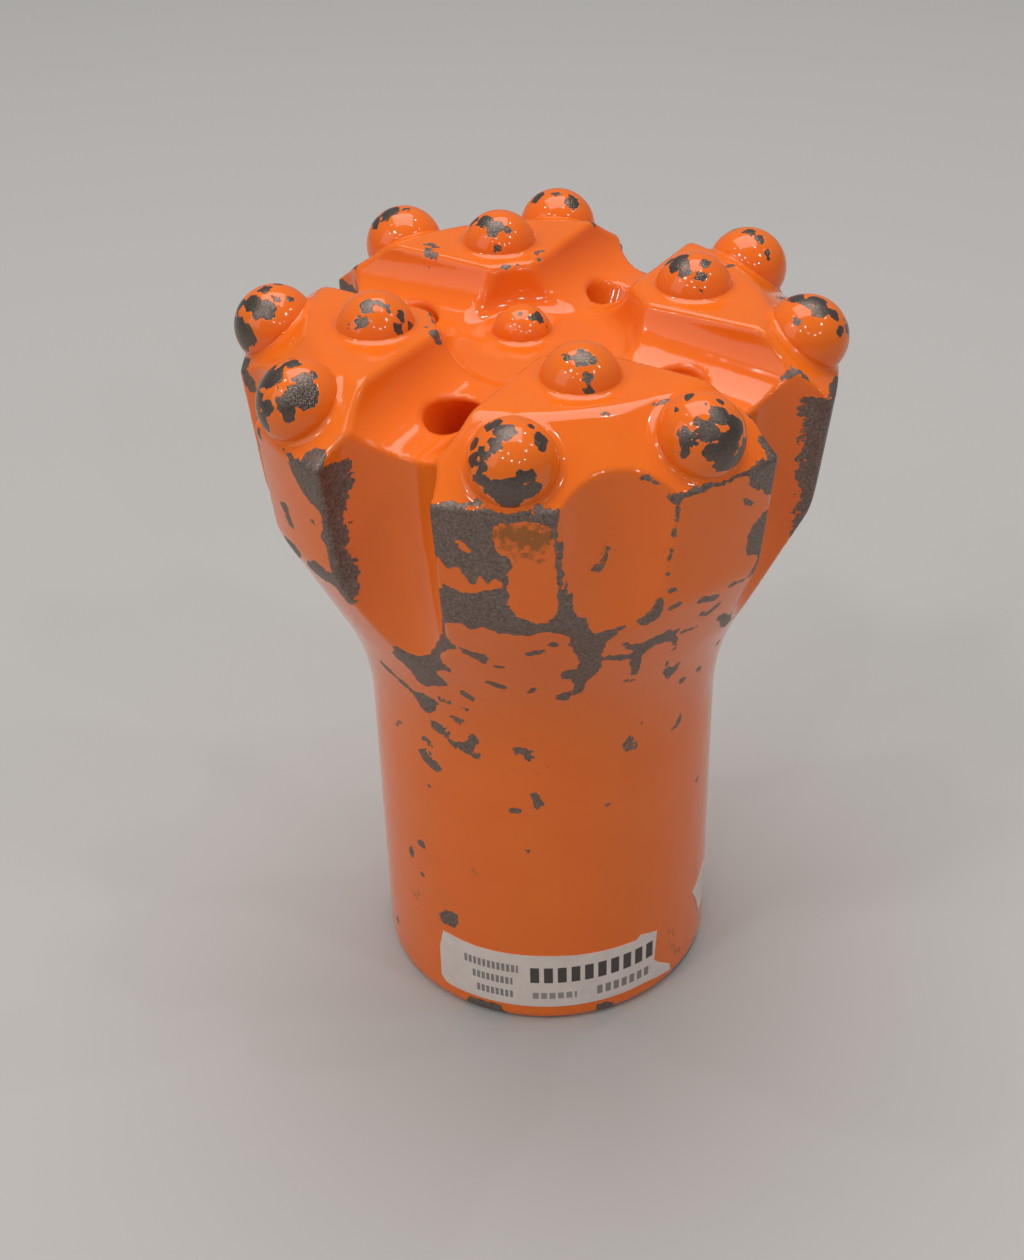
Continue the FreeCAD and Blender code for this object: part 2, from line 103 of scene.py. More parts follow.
def turned_outline(r, z):
    """Distance outside the turned blank, and from its edges."""
    knee = SHOULDER_HEIGHT - (SHOULDER_RADIUS - SKIRT_RADIUS) / math.tan(NECK_FLARE)
    start = knee - NECK_HOLLOW * math.tan(NECK_FLARE / 2)
    rise = np.clip(z - start, 0, NECK_HOLLOW * math.sin(NECK_FLARE))
    hollow = SKIRT_RADIUS + NECK_HOLLOW - np.sqrt(NECK_HOLLOW ** 2 - rise ** 2)
    flare = hollow + np.clip(z - start - rise, 0, None) * math.tan(NECK_FLARE)
    draft = (RIM_RADIUS - SHOULDER_RADIUS) / (RIM_HEIGHT - SHOULDER_HEIGHT)
    side = r - SHOULDER_RADIUS - (z - SHOULDER_HEIGHT) * draft
    bevel = (r - RIM_RADIUS) * math.sin(BEVEL) + (z - RIM_HEIGHT) * math.cos(BEVEL)
    chamfer = (r - z - SKIRT_RADIUS + FOOT_CHAMFER) / math.sqrt(2)
    blank = (r - flare) * math.cos(NECK_FLARE), np.full(len(r), FAR)
    blank = trimmed(blank, side, SHOULDER_ROUND)
    blank = trimmed(blank, bevel, BEVEL_ROUND)
    blank = trimmed(blank, z - FACE_HEIGHT, FACE_ROUND)
    blank = trimmed(blank, chamfer, CHAMFER_ROUND)
    return trimmed(blank, -z, FOOT_ROUND)


def socket_hollow(r, z, turn):
    """Distance outside the hollow of the socket and bore."""
    guide = GUIDE_RADIUS + np.clip(GUIDE_EDGE - z, 0, None) - np.clip(z - GUIDE_DEPTH, 0, None)
    lead = z - THREAD_START + THREAD_PITCH * turn / (2 * math.pi)
    off = np.abs((lead + THREAD_PITCH / 2) % THREAD_PITCH - THREAD_PITCH / 2)
    root = THREAD_ROOT - np.clip(off - THREAD_FLAT / 2, 0, None) * math.tan(THREAD_FLANK)
    relief = RELIEF_RADIUS - np.clip(RELIEF_START - z, 0, None)
    wall = np.maximum(np.maximum(guide, relief), np.clip(root, THREAD_CREST, None))
    wide = rounded(r - wall, z - SOCKET_DEPTH, SOCKET_CORNER)
    point = (z - BORE_TOP) * math.sin(DRILL_POINT) + (r - BORE_RADIUS) * math.cos(DRILL_POINT)
    return np.minimum(wide, np.maximum(r - BORE_RADIUS, point))


def button_neck(x, y, z, seat, axis, radius, stand):
    """Distance outside the part of a button that stands in and just above its hole."""
    dx, dy, dz = x - seat[0], y - seat[1], z - seat[2]
    along = dx * axis[0] + dy * axis[1] + dz * axis[2]
    off = np.sqrt(np.clip(dx * dx + dy * dy + dz * dz - along * along, 0, None))
    shape = np.hypot(off, np.clip(along - stand, 0, None)) - radius
    return np.maximum(shape, np.abs(along - NECK_MIDDLE) - NECK_HALF)


def painted_body(points):
    """Distance outside the painted steel, and from its nearest edge, in millimetres."""
    x, y, z = points.T
    r = np.hypot(x, y)
    out, across = np.maximum(abs(x), abs(y)), np.minimum(abs(x), abs(y))
    between, aside = (out + across) / math.sqrt(2), (out - across) / math.sqrt(2)

    wall = (r - DROP_RADIUS + (FACE_HEIGHT - z) * math.tan(DROP_TAPER)) * math.cos(DROP_TAPER)
    drop = rounded(wall, DROP_FLOOR - z, DROP_CORNER)
    rise = z - GROOVE_AXIS + between * math.tan(GROOVE_FALL)
    groove = np.hypot(aside, rise * math.cos(GROOVE_FALL)) - GROOVE_RADIUS
    flute = np.hypot(between - FLUTE_REACH, aside) - FLUTE_RADIUS
    scallop = np.hypot(out - SCALLOP_REACH, across) - SCALLOP_RADIUS
    off = between * math.cos(FLUSH_SLANT) - (z - FLUSH_FOOT) * math.sin(FLUSH_SLANT)
    up = between * math.sin(FLUSH_SLANT) + (z - FLUSH_FOOT) * math.cos(FLUSH_SLANT)
    flush = np.maximum(np.hypot(aside, off) - FLUSH_RADIUS, -up)

    steel = turned_outline(r, z)
    steel = trimmed(steel, -drop, DROP_ROUND)
    steel = trimmed(steel, -groove, GROOVE_ROUND)
    steel = trimmed(steel, -flute, FLUTE_ROUND)
    steel = trimmed(steel, -scallop, SCALLOP_ROUND)
    steel = trimmed(steel, -flush, FLUSH_ROUND)
    d, edge = trimmed(steel, -socket_hollow(r, z, np.arctan2(y, x)), SOCKET_ROUND)

    turn = math.radians(GAUGE_TURN)
    aim = (math.sin(BEVEL) * math.cos(turn), math.sin(BEVEL) * math.sin(turn), math.cos(BEVEL))
    seat = (GAUGE_OUT * math.cos(turn), GAUGE_OUT * math.sin(turn), GAUGE_HEIGHT)
    gauge = button_neck(out, across, z, seat, aim, GAUGE_RADIUS, GAUGE_STAND)
    upright = (0, 0, 1)
    face = button_neck(out, across, z, (FACE_OUT, 0, FACE_HEIGHT), upright, FACE_RADIUS, FACE_STAND)
    centre = button_neck(x, y, z, (*CENTRE_PLACE, DROP_FLOOR), upright, CENTRE_RADIUS, CENTRE_STAND)
    necks = np.minimum(np.minimum(gauge, face), centre)
    return -rounded(-d, -necks - NECK_INSET, CREEP), edge


def steepest(shape, points, which, step=0.05):
    """The direction in which one of a shape's two distances grows."""
    slope = np.empty_like(points)
    for axis in range(3):
        shift = np.zeros(3)
        shift[axis] = step
        slope[:, axis] = (shape(points + shift)[which] - shape(points - shift)[which]) / (2 * step)
    return slope


def drawn_to_edges(shape, points, reach=0.42):
    """Move the points that lie close to an edge onto it, so that it shows as a clean line."""
    for _ in range(2):
        distance, edge = shape(points)
        a, b = steepest(shape, points, 0), steepest(shape, points, 1)
        aa, ab, bb = (a * a).sum(1), (a * b).sum(1), (b * b).sum(1)
        cross = aa * bb - ab * ab
        off = abs(edge) * np.sqrt(aa / np.clip(cross, 1e-9, None))
        close = (off < reach) & (cross > 0.05) & (abs(edge) < 1.5)
        u = (ab * edge - bb * distance) / np.clip(cross, 1e-9, None)
        v = (ab * distance - aa * edge) / np.clip(cross, 1e-9, None)
        move = u[:, None] * a + v[:, None] * b
        length = np.clip(np.linalg.norm(move, axis=1), 1e-9, None)[:, None]
        points = points + np.where(close[:, None], move * np.minimum(1, reach / length), 0)
    return points


def skin(shape, xs, ys, zs, rounds=3):
    """A closed skin of four-sided faces where a shape's distance is nought."""
    grid = np.stack(np.meshgrid(xs, ys, zs, indexing="ij"), -1)
    depth = shape(grid.reshape(-1, 3))[0].reshape(grid.shape[:3])
    cells = tuple(n - 1 for n in depth.shape)
    total, count, rings = np.zeros(cells + (3,)), np.zeros(cells), []
    for axis in range(3):
        first, last = [slice(None)] * 3, [slice(None)] * 3
        first[axis], last[axis] = slice(0, -1), slice(1, None)
        a, b = depth[tuple(first)], depth[tuple(last)]
        cut = (a < 0) != (b < 0)
        share = (a[cut] / (a[cut] - b[cut]))[:, None]
        places = grid[tuple(first)][cut] * (1 - share) + grid[tuple(last)][cut] * share
        corner = np.argwhere(cut)
        one, two = [other for other in range(3) if other != axis]
        ring = []
        for step_one, step_two in ((-1, -1), (0, -1), (0, 0), (-1, 0)):
            cell = corner.copy()
            cell[:, one] += step_one
            cell[:, two] += step_two
            ring.append(cell)
            np.add.at(total, tuple(cell.T), places)
            np.add.at(count, tuple(cell.T), 1)
        rings.append((ring, (a[cut] < 0) != (axis == 1)))
    used = count > 0
    number = np.full(cells, -1)
    number[used] = np.arange(used.sum())
    points = total[used] / count[used][:, None]
    faces = []
    for ring, outward in rings:
        face = np.stack([number[tuple(cell.T)] for cell in ring], -1)
        face[~outward] = face[~outward][:, ::-1]
        faces.append(face)
    faces = np.vstack(faces)

    edges = np.vstack([faces[:, [k, (k + 1) % 4]] for k in range(4)])
    edges = np.vstack([edges, edges[:, ::-1]])
    near = np.bincount(edges[:, 0], minlength=len(points))
    for _ in range(rounds):
        middle = np.stack([np.bincount(edges[:, 0], points[edges[:, 1], k], len(points))
                           for k in range(3)], -1) / near[:, None]
        slope = steepest(shape, points, 0)
        normal = slope / np.linalg.norm(slope, axis=1)[:, None]
        shift = middle - points
        points = points + 0.5 * (shift - (shift * normal).sum(1)[:, None] * normal)
        for _ in range(2):
            slope = steepest(shape, points, 0)
            steep = np.clip((slope * slope).sum(1), 0.25, None)
            move = -(shape(points)[0] / steep)[:, None] * slope
            length = np.clip(np.linalg.norm(move, axis=1), 1e-9, None)[:, None]
            points = points + move * np.minimum(1, 0.5 / length)
        points = drawn_to_edges(shape, points)
    return points, faces, steepest(shape, points, 0)


def solid_piece(name, points, faces):
    """A smooth-shaded object from an array of points in millimetres and a list of faces."""
    mesh = bpy.data.meshes.new(name)
    mesh.from_pydata((points / 1000).tolist(), [], faces)
    mesh.update()
    mesh.shade_smooth()
    piece = bpy.data.objects.new(name, mesh)
    bpy.context.scene.collection.objects.link(piece)
    return piece


def write_on(piece, name, values):
    """Keep one number a point on a piece, for its material to read."""
    mark = piece.data.attributes.new(name, "FLOAT", "POINT")
    mark.data.foreach_set("value", np.asarray(values, dtype=np.float32))


# The grid that the skin is laid on: close over the head, wider down the skirt.
HEAD_STEP, SKIRT_STEP = 0.78, 1.8
GRID_RADIUS, GRID_FOOT, GRID_NECK, GRID_TOP = 50.3, -0.6, 84, 138
half = math.ceil(GRID_RADIUS / HEAD_STEP) * HEAD_STEP
level = np.arange(-half, half + 0.1, HEAD_STEP)
low = np.arange(GRID_FOOT, GRID_NECK, SKIRT_STEP)
heights = np.concatenate([low, np.arange(low[-1] + SKIRT_STEP, GRID_TOP, HEAD_STEP)])
body_points, body_faces, body_slope = skin(painted_body, level, level, heights)

# Wear on the sides, where the enamel has flaked off down to the steel. Each outline is a list of
# corners (turn, height): degrees round from the middle of the front wing, millimetres up.
SIDE_BARE = [
    # the left half of the front wing, and the tongue below it
    [(-35.4, 124.8), (-10.5, 124.8), (-10.9, 122), (-11.2, 119), (-10.4, 116.8), (-9.9, 114),
     (-9.3, 111.5),
     (-9.4, 109.5), (-8.2, 108.9), (-8, 107.3), (-8.9, 106.6), (-8, 105.5), (-6.5, 103.8),
     (-5, 103),
     (-4.9, 101.4), (-3.8, 100), (-2.3, 99.8), (0.5, 100), (3, 100.6), (3, 99.8), (1.2, 99),
     (0, 97.5),
     (-1, 95), (-1.3, 93), (-0.5, 90), (-1, 88), (-2.5, 86.5), (-3.8, 84.5), (-3.8, 82.3),
     (-5.3, 81.6),
     (-6.8, 81.8), (-7, 80.5), (-8.3, 79.8), (-9.8, 80.4), (-11.5, 81.3), (-9.7, 82.2),
     (-7.6, 82.6),
     (-6.5, 83.6), (-6.5, 85), (-7.5, 86.5), (-10, 86.8), (-10, 88.8), (-8.5, 89.8), (-6.2, 89.8),
     (-5.8, 91), (-6.3, 93.8), (-7.8, 95), (-8.5, 97.5), (-8.5, 99.5), (-10, 100.5), (-12, 101),
     (-14.5, 101), (-15.5, 100.1), (-22.3, 100.4), (-25, 101.8), (-27.8, 100.9), (-29.5, 102.1),
     (-31.5, 102), (-33.2, 101), (-33.9, 99), (-34, 97.3), (-33, 95.8), (-31, 94.9), (-28, 94.3),
     (-26.3, 94), (-25.8, 92.5), (-26, 91), (-27.2, 90.7), (-28, 91.8), (-30, 92.5), (-31.2, 93.7),
     (-32.3, 94.3), (-34.5, 93.6), (-36.5, 92), (-38.5, 91.5), (-38, 93.5), (-36.3, 96.5),
     (-35.4, 101)],
    # round the foot of the left flute
    [(-38.5, 93.8), (-36, 93), (-37.5, 91), (-38.2, 89.5), (-37.8, 88.5), (-36.3, 87.8),
     (-35.8, 86.8),
     (-37, 86.2), (-38.5, 86.3), (-40, 86), (-41, 85), (-40.5, 83.5), (-39, 82), (-39.8, 81),
     (-41.5, 81), (-42, 80.3), (-44, 80), (-47, 79), (-49, 78.7), (-50.5, 79.5), (-50.8, 81.5),
     (-52, 83), (-54.5, 84.8), (-53.5, 86.5), (-52.5, 87.8), (-52.8, 89), (-50.5, 88.8),
     (-48, 87.8),
     (-44.8, 87.8), (-42.5, 89), (-40, 91)],
    # the top corner and the edge of the right half
    [(10.8, 124.8), (9.2, 124.8), (9, 123.6), (10, 122.4), (10.9, 123), (11.5, 123.8),
     (14, 123.6), (17, 124.3), (20, 123.6), (22, 124.3), (25, 123.8), (25.5, 122.5), (26.3, 121.3),
     (28, 120.2), (29.5, 119.5), (31.3, 118), (32.8, 117.2), (33.5, 116), (35.2, 115.3),
     (35.2, 124.8)],
    [(35.2, 115), (32, 115), (30, 114.2), (28.6, 113.5), (27.8, 111.5), (27.6, 109.5),
     (28.3, 107.6),
     (30, 107), (31.5, 106.2), (32.2, 105), (31.3, 104.2), (31, 103), (31.8, 102.2), (33, 101),
     (33.5, 99), (34.5, 96), (35.8, 96), (35.2, 101)],
    # under the scallop, and the neck to the right of the tongue
    [(4.5, 101), (6.8, 103), (8, 105.5), (9.3, 105.5), (9.6, 103), (9.4, 101), (8, 99.5),
     (6, 99.7)],
    [(2.5, 96), (3.8, 95.8), (5.5, 94.5), (8.5, 94.5), (10.5, 95.4), (12, 95.3), (13.3, 96.7),
     (14.5, 95.8), (16.5, 95.6), (17, 94.6), (16.3, 93.7), (17.5, 92.5), (18.5, 90), (19.2, 87.6),
     (17.8, 88), (17, 90.5), (16, 92), (14, 92.8), (12, 92.5), (10, 91.8), (9.3, 90), (9.8, 87),
     (10.2, 84.5), (9.3, 84.2), (8, 85.5), (7, 88), (6.3, 90), (5, 90.2), (3.5, 90), (2, 90.8),
     (-0.5, 91.6), (-0.3, 93), (1.5, 92.3), (3.5, 92.6), (5, 91.8), (6.2, 92), (5, 93.3),
     (3, 94.6)],
    [(27, 94), (29, 93.7), (31, 93), (34, 91.5), (37, 90), (38.5, 88.5), (41, 86.8), (39, 85.8),
     (36, 86.8), (33, 89), (30.5, 91), (28.3, 92.8)],
    # the left wing: its front corner, its front edge, a chip, and its shoulder
    [(-68, 124.8), (-66.5, 124.5), (-65.3, 123.8), (-64.8, 122.3), (-64.5, 121), (-63, 119.5),
     (-61.5, 118.2), (-59.5, 117.3), (-58.3, 117), (-58, 115.5), (-58.2, 113.5), (-59.5, 111.7),
     (-59, 110.5), (-58.2, 109.3), (-58.6, 107.5), (-58.4, 106), (-58.5, 104.5), (-60, 104.5),
     (-62, 105), (-64, 105), (-66, 103.8), (-68, 102.5), (-70, 101.2), (-66, 100.5), (-63, 100.3),
     (-61, 100.8), (-59.5, 100.7), (-60.2, 98.8), (-59.8, 97.5), (-58, 96.8), (-56.7, 97.5),
     (-55.6, 100), (-55.5, 104), (-55.9, 107), (-56.2, 111), (-56.2, 116), (-55.6, 119),
     (-55.3, 124.8)],
    [(-74, 111.3), (-72.5, 113), (-71, 113.5), (-69.5, 112.8), (-70, 111.5), (-69, 109.8),
     (-69, 108.5), (-71, 108.8), (-72.5, 109.5), (-71.5, 110.7)],
    [(-78, 103.8), (-74, 104.8), (-71, 105.2), (-69, 104), (-70, 102.8), (-72, 101.5), (-75, 99.5),
     (-78, 99)],
    # the right wing's front edge
    [(56.1, 124.8), (62, 124.8), (61, 121), (63.5, 118), (62, 114), (63, 110), (61, 107),
     (58.5, 105.2), (57.8, 102), (58.5, 99), (56, 97.5), (56.1, 103), (56.2, 112)],
    # flakes low on the neck and down the skirt
    [(-57, 75), (-52, 75.8), (-48, 76), (-45.5, 75), (-46, 73.5), (-47.5, 72), (-49, 71),
     (-51, 70.5),
     (-53.5, 71), (-54, 72.5), (-55.5, 73.8)],
    [(-45.3, 65), (-44, 65.5), (-41, 66.6), (-38, 66.9), (-37, 68.8), (-35.5, 69), (-33.8, 67.7),
     (-34, 66.7), (-36, 66.3), (-36.2, 65.3), (-33.5, 64), (-35, 62.9), (-38, 63.2), (-40.5, 64.2),
     (-43.5, 64.2)],
    [(-56, 20.7), (-53, 22), (-51.5, 23.3), (-48, 24), (-46, 24), (-45, 22.5), (-45.5, 20.8),
     (-48, 19.7), (-50.5, 19.5), (-53.5, 20)],
    [(-44, -1), (-43.5, 2.5), (-41, 3.4), (-38, 3.2), (-34, 3.4), (-30.5, 3.2), (-28.5, 1.5),
     (-28, -1)],
    [(3, -1), (2.8, 2.5), (4, 3.1), (7, 3), (9.5, 2.2), (11, -1)],
]

# Enamel left standing inside those outlines.
SIDE_ISLANDS = [
    [(-21, 122.5), (-16, 123), (-12.8, 122.5), (-12.4, 120), (-12, 118.5), (-11.4, 116.5),
     (-11.4, 114),
     (-10.9, 111), (-10.9, 108), (-11, 106), (-11.8, 104.6), (-13.5, 103.5), (-16, 103.7),
     (-18.5, 105),
     (-19.7, 107), (-20, 110), (-19.8, 113.5), (-18.5, 114.8), (-19.5, 116), (-21.5, 118),
     (-22.3, 120.3)],
    [(-35, 115.5), (-32.3, 115), (-30.7, 113), (-29.8, 114.1), (-28.2, 113.3), (-27, 110.8),
     (-25.7, 110.5),
     (-25.2, 112.8), (-23.3, 110.8), (-22.5, 112.8), (-21, 111.2), (-22, 110.3), (-24, 110),
     (-26, 109),
     (-29, 109.2), (-31, 110.2), (-32, 110.2), (-33, 109), (-35, 110)],
    [(-28.8, 118.8), (-27.8, 119.1), (-25.6, 116.9), (-27, 116.7), (-28.5, 118)],
]

# Small flakes and scratches, and one long dark band along the foot: from (turn, height) to (turn,
# height), and how far they reach.
SIDE_SPOTS = [
    (-12, 97.5, -11.6, 97.6, 0.7), (-16.8, 94.8, -14.2, 95.6, 0.7), (-27, 85.2, -24, 84, 0.8),
    (-17.2, 82.8, -16.2, 84, 0.5), (-35, 80, -33.5, 79, 1.0), (-24.5, 90.3, -23.3, 90.4, 0.5),
    (7, 83.2, 9, 82.8, 0.6), (18.5, 102, 22.5, 101, 0.8), (25.5, 102.5, 32, 101.8, 0.5),
    (21, 97.5, 22, 96.8, 0.6), (23, 96.5, 25.5, 98.3, 0.7), (18, 94, 21.5, 93.6, 0.5),
    (20, 82.3, 22.5, 80, 1.0), (23, 82.8, 24, 81.2, 0.6), (18.5, 85, 19, 83.8, 0.5),
    (11.2, 102.6, 12.8, 103, 0.6), (10.5, 106.4, 11.5, 106.7, 0.5), (25, 119.3, 27, 118, 0.6),
    (29, 76, 30.5, 75.5, 0.6), (34, 78.5, 35, 78, 0.5), (37, 76, 39, 75, 0.8),
    (43.8, 79.5, 45, 79, 0.6),
    (-3.5, 112, -2.8, 111.5, 0.6), (-1.8, 113, -0.7, 115, 0.5), (5.5, 126.7, 7.5, 126, 0.5),
    (10.6, 122, 10.3, 117.5, 0.4), (10, 114.5, 9.7, 110, 0.35), (-10.4, 119, -10.4, 117, 0.4),
    (-60.7, 113.8, -61.3, 113.7, 0.5), (-77, 124, -76.5, 123.3, 0.8), (-79, 121, -80.5, 120.5, 0.9),
    (-99.5, 124, -99, 122.5, 1.1), (-98, 115, -96.8, 121, 0.7), (-66, 78, -57, 75.7, 0.9),
    (-41.5, 72, -38.5, 71.3, 0.8), (-44, 76.2, -41, 76.5, 0.7), (-38, 75, -36, 75.4, 0.5),
    (-49.5, 68, -46, 67.5, 1.3), (-22, 66.3, -18, 66, 1.1), (-19.5, 64.7, -19.2, 64.7, 0.6),
    (-70, 61.8, -67, 62.8, 0.7), (-55, 63, -51.5, 62, 0.8), (-40.5, 60.7, -40, 60.7, 0.5),
    (-56.5, 59.2, -51, 57.8, 1.3), (-17, 56.5, -16, 54, 0.9), (-15.5, 53.8, -15, 53.8, 0.9),
    (-24.5, 52.8, -22.5, 52.8, 0.8), (-55, 52.2, -54.3, 52, 0.6), (6.2, 52.8, 7, 52.3, 0.6),
    (-19.3, 43.9, -19.2, 42.9, 0.6), (-61, 37, -59.5, 37, 1.0), (-66.5, 33.5, -66, 32, 0.9),
    (-61, 29.5, -60, 29.8, 0.9), (-23.8, 24.3, -23.3, 24.3, 0.5), (12, 64.5, 15.5, 64, 0.9),
    (13.5, 66.5, 14, 65.5, 0.7), (17.3, 69.3, 18, 69.2, 0.5), (26, 68.3, 27.5, 68.2, 0.4),
    (31, 64, 33, 63.5, 0.7), (34, 65.5, 35, 64, 0.5), (29.8, 57, 30.5, 56.5, 0.4),
    (38, 51.8, 38.3, 51.6, 0.4),
    # The second spot here is that dark band along the foot, right of the label, drawn as bare steel.
    (47, 45.8, 49, 45.3, 0.6), (36, 0.3, 58, 0.6, 1.1),
    # the sides turned away from the front
    (75, 124, 80, 123, 1.4), (78, 118, 79, 113, 1.0), (97, 125, 103, 124, 1.2),
    (66, 100, 72, 97, 1.2),
    (84, 104, 92, 102, 0.9), (118, 122, 124.5, 118, 2.2), (122, 112, 124.5, 104, 1.4),
    (124, 125, 124.3, 104, 0.7),
    (108, 108, 111, 106, 0.9), (100, 90, 104, 86, 1.3), (112, 96, 118, 93, 1.1),
    (86, 84, 89, 83, 0.8),
    (130, 88, 137, 86, 1.6), (124, 96, 128, 90, 1.4), (141, 91, 146, 96, 1.2),
    (145.5, 125, 150, 118, 2.4), (145.8, 116, 146.4, 103, 1.5), (155, 119, 158, 117, 0.9),
    (163, 124.8, 170, 124.8, 1.1), (168, 103, 178, 101, 1.3), (174, 98, 176, 92, 1.8),
    (170, 108, 171, 111, 0.8),
    (-172, 121, -168, 118, 1.5), (-160, 124.3, -146.5, 123.5, 1.3), (-146.2, 120, -146.2, 107, 1.3),
    (-155, 104, -148, 101, 1.5), (-163, 96, -158, 93, 1.2), (-138, 88, -132, 86.5, 1.5),
    (-129, 90, -124.5, 96, 1.3), (-124.5, 125, -118, 121, 2.0), (-124, 115, -123.6, 103, 1.2),
    (-110, 118, -107, 115, 1.1), (-106, 104, -98, 102, 1.2), (-103, 97, -101, 92, 1.0),
    (150, 80, 155, 77, 1.2), (165, 72, 167, 70, 0.8), (-170, 66, -167, 64, 0.9),
    (-150, 74, -147, 73, 0.8),
    (120, 68, 122, 66, 0.8), (108, 58, 110, 57, 0.7), (-140, 58, -138, 55, 0.9),
    (-120, 64, -117, 63, 0.8),
    (-105, 50, -104, 47, 0.7), (172, 48, 173, 46, 0.7), (140, 40, 144, 38, 1.1),
    (-160, 34, -157, 33, 0.8),
    (-125, 30, -123, 28, 0.7), (115, 26, 117, 24, 0.7), (95, 44, 96, 42, 0.6),
    (-95, 36, -93, 35, 0.7),
    (160, 18, 166, 17, 1.2), (-140, 14, -136, 13, 0.9), (-108, 10, -106, 12, 0.7),
    (80, 30, 82, 29, 0.6),
    (75, 14, 78, 12, 0.8), (120, 0, 140, 1, 1.3), (-170, 0, -150, 1.5, 1.5),
    (-110, 0, -100, 1, 1.0),
    (85, 0, 98, 1.2, 1.2), (175, 0.5, 179, 1, 0.8), (-84, 8, -82, 7, 0.8), (-92, 84, -88, 82, 1.0),
]

# Rust that has come through the enamel and onto the bare steel, in the same terms.
SIDE_RUST = [(-20, 120.5, -14, 120.5, 2.8), (-18, 117.5, -14, 117, 1.8), (-67, 22, -62, 23, 1.4),
             (-39, 36, -38, 36, 1.2), (31, 16, 37, 11, 1.0), (35, 9, 41, 5, 1.0),
             (-3.3, 112, -0.8, 115, 0.8), (-22, 62, -8, 62, 0.5),
             (150, 104, 156, 103, 1.6), (-112, 92, -108, 90, 1.4)]

# Wear on top, and one line of painted shade, seen from above: from (x, y) to (x, y) in millimetres,
# and how far it reaches.
TOP_SPOTS = [
    # The third spot here, a thin line of bare steel along the crest of the left wing's inner tip, is
    # partly a chip and partly painted shade where the edge meets the gap.
    (-18.4, -4.9, -17.9, -4.5, 0.9), (-19.3, -3, -19.2, -2.8, 0.4), (-17.4, 4.5, -17.3, -1.5, 0.35),
    (-12.7, 30, -11.2, 29.6, 0.6), (-11.2, 29.4, -10.8, 28, 0.45), (-13.1, 27.8, -12.1, 25.8, 0.8),
    (5, 18.5, 4.8, 20.3, 0.6), (5, 20.8, 6.6, 21.5, 0.5), (-4.6, -16.6, -2.6, -15.6, 0.45),
    (0, -37.9, 1, -37.9, 0.35), (8, -37.2, 11, -36.3, 0.4), (25.6, -40.2, 26.8, -41.8, 1.4),
    (24.3, -36, 24.8, -36.6, 0.7), (22.5, -43.9, 26.8, -42, 0.5), (9.5, -48.6, 15, -47.2, 0.3),
    (-27.6, -41.4, -9.5, -48.6, 0.3), (-42.2, -24.3, -41, -26, 1.6), (-48.2, 9.5, -47.2, 13.5, 1.1),
    (-44.6, 0.2, -42, -1, 0.4), (-42, -1, -39.9, -4.4, 0.4), (35.4, -24.2, 37.6, -25.2, 0.9),
    (34, -24, 41, -27, 0.4), (42.2, -26, 45.4, -20.6, 1.0), (17, 33.2, 19, 32.6, 0.7),
    (24.2, 37.4, 27.6, 34.4, 0.8), (45.4, 4, 41, -2.2, 0.35), (-2, 17.4, 1.2, 17.6, 0.35),
    (-24.5, 37, -27.5, 34.6, 0.9), (41.5, 26.8, 44.2, 22.5, 1.1), (-41.5, 26.6, -44.6, 21.8, 1.2),
    (33, 4.5, 36, 6.5, 0.6), (-9, 44.5, -7, 45.6, 0.7), (12.5, 47.2, 20, 44.6, 0.4),
]


def away_from(u, v, line, stretch):
    """How far each point lies from a straight line, in millimetres."""
    u_a, v_a, u_b, v_b = line
    run_u, run_v = (u_b - u_a) * stretch, v_b - v_a
    off_u, off_v = (u - u_a) * stretch, v - v_a
    share = np.clip((off_u * run_u + off_v * run_v) / (run_u ** 2 + run_v ** 2), 0, 1)
    return np.hypot(off_u - share * run_u, off_v - share * run_v)


def worn(u, v, stretch, outlines, spots):
    """How far inside the worn places each point lies, in millimetres: below nought outside them.

    u and v say where the points are, and a step of one in u measures `stretch` millimetres.
    """
    depth = np.full(len(u), -FAR)
    for outline in outlines:
        inside, nearest = np.zeros(len(u), bool), np.full(len(u), FAR)
        for (u_a, v_a), (u_b, v_b) in zip(outline, outline[1:] + outline[:1]):
            crossing = u_a + (v - v_a) / ((v_b - v_a) or 1) * (u_b - u_a)
            inside ^= ((v_a > v) != (v_b > v)) & (u < crossing)
            nearest = np.minimum(nearest, away_from(u, v, (u_a, v_a, u_b, v_b), stretch))
        depth = np.maximum(depth, np.where(inside, nearest, -nearest))
    for *line, reach in spots:
        depth = np.maximum(depth, reach - away_from(u, v, line, stretch))
    return depth


# Turns are counted from the middle of the front wing, which lies here, in degrees.
FRONT_WING = -90
# The side wear stops at the bowl, the grooves and the socket, which lie inside these.
BOWL_RADIUS, HEAD_INSIDE, HEAD_START = 24, 41.5, 120
# The top is what looks upward by this much, above this height.
TOP_UPWARD, TOP_START = 0.3, 118
# The socket and bore lie inside this radius and below this height.
SOCKET_REACH, SOCKET_TOP = 21.2, 98
# How far the foot and the socket are inside their worn places.
FOOT_WEAR, SOCKET_WEAR = 0.35, 6.0

x, y, height = body_points.T
radius = np.hypot(x, y)
turn = (np.degrees(np.arctan2(y, x)) - FRONT_WING + 180) % 360 - 180
upward = body_slope[:, 2] / np.linalg.norm(body_slope, axis=1)
around = math.radians(1) * radius
bare = np.minimum(worn(turn, height, around, SIDE_BARE, SIDE_SPOTS),
                  -worn(turn, height, around, SIDE_ISLANDS, []))
rust = worn(turn, height, around, [], SIDE_RUST)
inner = (radius < BOWL_RADIUS) | ((radius < HEAD_INSIDE) & (height > HEAD_START))
bare[inner], rust[inner] = -FAR, -FAR
on_top = (upward > TOP_UPWARD) & (height > TOP_START)
bare = np.where(on_top, np.maximum(bare, worn(x, y, 1.0, [], TOP_SPOTS)), bare)
